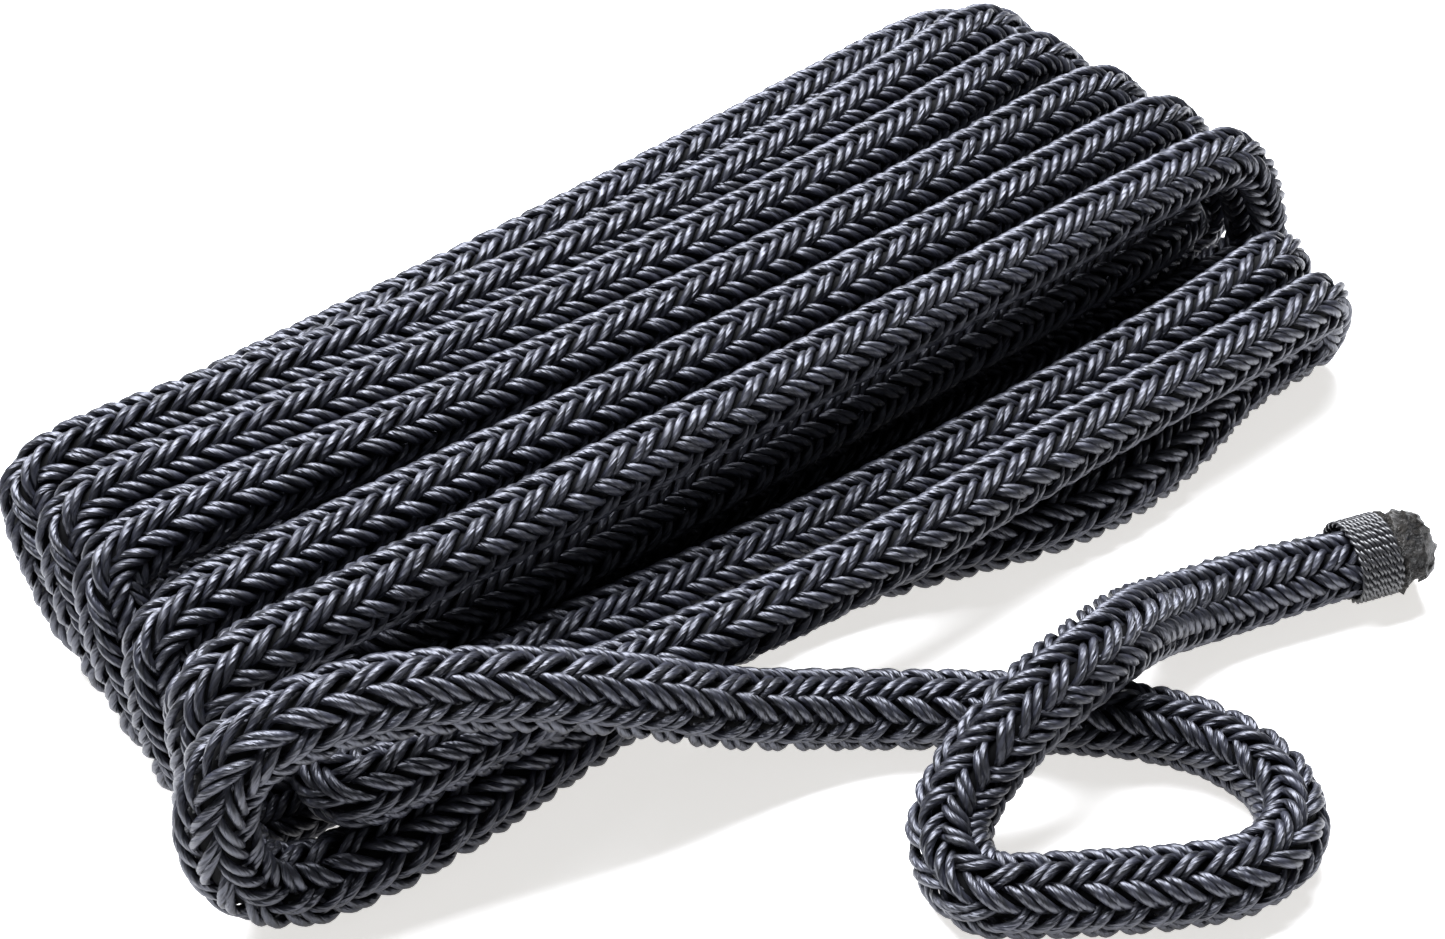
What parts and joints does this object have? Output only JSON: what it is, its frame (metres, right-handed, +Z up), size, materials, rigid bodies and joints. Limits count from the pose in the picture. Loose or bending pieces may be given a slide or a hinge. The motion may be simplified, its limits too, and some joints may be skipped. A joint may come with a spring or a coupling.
{
  "type": "dock line",
  "caption": "Double-braid mooring line folded in a loose untied hank, its free tail making one loop before a whipped, heat-sealed end.",
  "frame": {"origin": "the middle of the whole part's box, on the surface that it lies on", "axes": "+X along the hank, from the folds where the tail leaves towards the far folds; +Y across the hank, away from the tail's loop; +Z up"},
  "size_m": [0.2648, 0.2066, 0.0444],
  "materials": {
    "cover_yarn": "satin twisted nylon yarn, braided, dark navy black",
    "core_yarn": "satin braided nylon core",
    "whipping_twine": "matt waxed twine",
    "sealed_yarn": "melted and rehardened nylon, uneven and slightly glossy"
  },
  "bodies": {
    "root": {"hank": "cover_yarn", "tail_cover": "cover_yarn", "tail_core": "core_yarn", "end_whipping": "whipping_twine", "end_tip": "sealed_yarn"}
  },
  "joints": []
}
